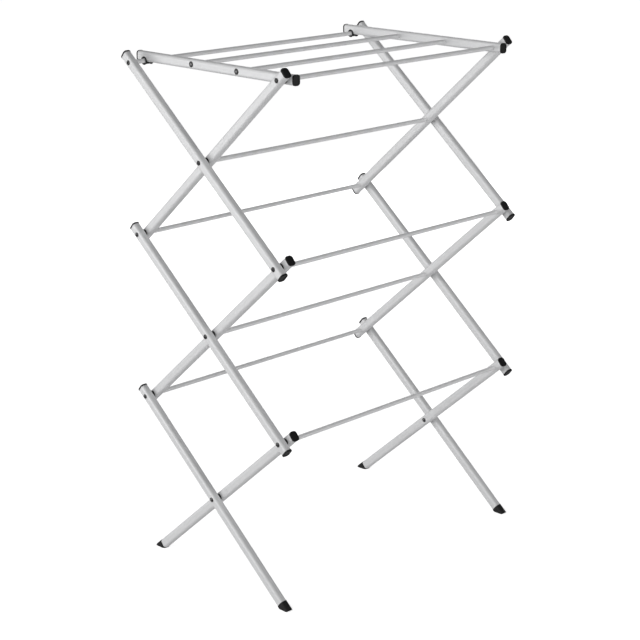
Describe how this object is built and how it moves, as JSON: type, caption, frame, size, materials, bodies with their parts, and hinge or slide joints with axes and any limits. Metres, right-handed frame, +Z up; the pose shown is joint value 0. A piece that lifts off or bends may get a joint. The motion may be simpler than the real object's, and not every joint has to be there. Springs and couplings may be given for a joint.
{
  "type": "clothes drying rack",
  "caption": "Folding three-tier clothes drying rack: steel tube lazy-tong end frames, round hanging rails, black end caps and feet, and hinged top arms that hook it open.",
  "frame": {"origin": "centre of the footprint, on the floor", "axes": "+X across the end frames towards the arm pivots, +Y along the rails towards the rear end frame, +Z up"},
  "size_m": [0.4526, 0.6746, 1.0553],
  "materials": {
    "tube_paint": "satin silver-white powder coat on round-cornered steel tube",
    "rail_paint": "satin silver-white powder coat on round steel tube",
    "black_plastic": "fine-textured black plastic",
    "black_rubber_foot": "soft black plastic foot",
    "black_fastener": "black oxide steel with a low sheen",
    "zinc_insert": "zinc-plated threaded insert, hidden in the rails"
  },
  "bodies": {
    "outer_legs": {"cross_rivets": "black_fastener", "cross_washers": "black_plastic", "outer_leg_front": "tube_paint", "outer_leg_rear": "tube_paint", "outer_leg_caps": "black_plastic", "outer_foot_front": "black_rubber_foot", "outer_foot_rear": "black_rubber_foot"},
    "inner_legs": {"inner_leg_front": "tube_paint", "inner_leg_rear": "tube_paint", "inner_leg_caps": "black_plastic", "inner_foot_front": "black_rubber_foot", "inner_foot_rear": "black_rubber_foot", "lower_right_rail": "rail_paint", "lower_right_screws": "black_fastener", "lower_right_inserts": "zinc_insert", "lower_right_washers": "black_plastic"},
    "middle_inner_bars": {"middle_inner_bar_front": "tube_paint", "middle_inner_bar_rear": "tube_paint", "middle_inner_caps": "black_plastic", "middle_right_rail": "rail_paint", "middle_cross_rail": "rail_paint", "lower_left_rail": "rail_paint", "middle_right_screws": "black_fastener", "middle_cross_screws": "black_fastener", "lower_left_screws": "black_fastener", "middle_inserts": "zinc_insert", "middle_washers": "black_plastic"},
    "middle_outer_bars": {"middle_outer_bar_front": "tube_paint", "middle_outer_bar_rear": "tube_paint", "middle_outer_caps": "black_plastic"},
    "upper_outer_bars": {"upper_outer_bar_front": "tube_paint", "upper_outer_bar_rear": "tube_paint", "upper_outer_caps": "black_plastic", "hook_rail": "rail_paint", "hook_rail_screws": "black_fastener", "hook_rail_inserts": "zinc_insert"},
    "upper_inner_bars": {"upper_inner_bar_front": "tube_paint", "upper_inner_bar_rear": "tube_paint", "upper_inner_caps": "black_plastic", "upper_cross_rail": "rail_paint", "middle_left_rail": "rail_paint", "upper_cross_screws": "black_fastener", "middle_left_screws": "black_fastener", "upper_inserts": "zinc_insert", "upper_washers": "black_plastic"},
    "top_arms": {"top_arm_front": "tube_paint", "top_arm_rear": "tube_paint", "top_arm_caps": "black_plastic", "hook_clip_front": "black_plastic", "hook_clip_rear": "black_plastic", "arm_pivot_rail": "rail_paint", "top_rail_2": "rail_paint", "top_rail_3": "rail_paint", "arm_pivot_screws": "black_fastener", "arm_rivets": "black_fastener", "arm_inserts": "zinc_insert", "arm_washers": "black_plastic"}
  },
  "joints": [
    {"name": "fold", "type": "hinge", "parent": "outer_legs", "child": "inner_legs", "pos_m": [0, 0, 0.1737], "axis": [0, -1, 0], "range_deg": [0, 90]},
    {"name": "lower_left_pivot", "type": "hinge", "parent": "outer_legs", "child": "middle_inner_bars", "pos_m": [-0.20181, 0, 0.34545], "axis": [0, -1, 0], "range_deg": [0, 90]},
    {"name": "middle_cross_pivot", "type": "hinge", "parent": "middle_inner_bars", "child": "middle_outer_bars", "pos_m": [0, 0, 0.5172], "axis": [0, 1, 0], "range_deg": [0, 90]},
    {"name": "middle_right_pivot", "type": "hinge", "parent": "middle_inner_bars", "child": "upper_outer_bars", "pos_m": [0.20181, 0, 0.68895], "axis": [0, 1, 0], "range_deg": [0, 90]},
    {"name": "upper_cross_pivot", "type": "hinge", "parent": "upper_outer_bars", "child": "upper_inner_bars", "pos_m": [0, 0, 0.8607], "axis": [0, -1, 0], "range_deg": [0, 90]},
    {"name": "top_arm_pivot", "type": "hinge", "parent": "upper_inner_bars", "child": "top_arms", "pos_m": [0.20181, 0, 1.03245], "axis": [0, 1, 0], "range_deg": [0, 313.2]}
  ],
  "couplings": [
    {"joint": "lower_left_pivot", "follows": "fold", "ratio": 1},
    {"joint": "middle_cross_pivot", "follows": "fold", "ratio": 1},
    {"joint": "middle_right_pivot", "follows": "fold", "ratio": 1},
    {"joint": "upper_cross_pivot", "follows": "fold", "ratio": 1},
    {"joint": "top_arm_pivot", "follows": "fold", "ratio": 3.48}
  ]
}
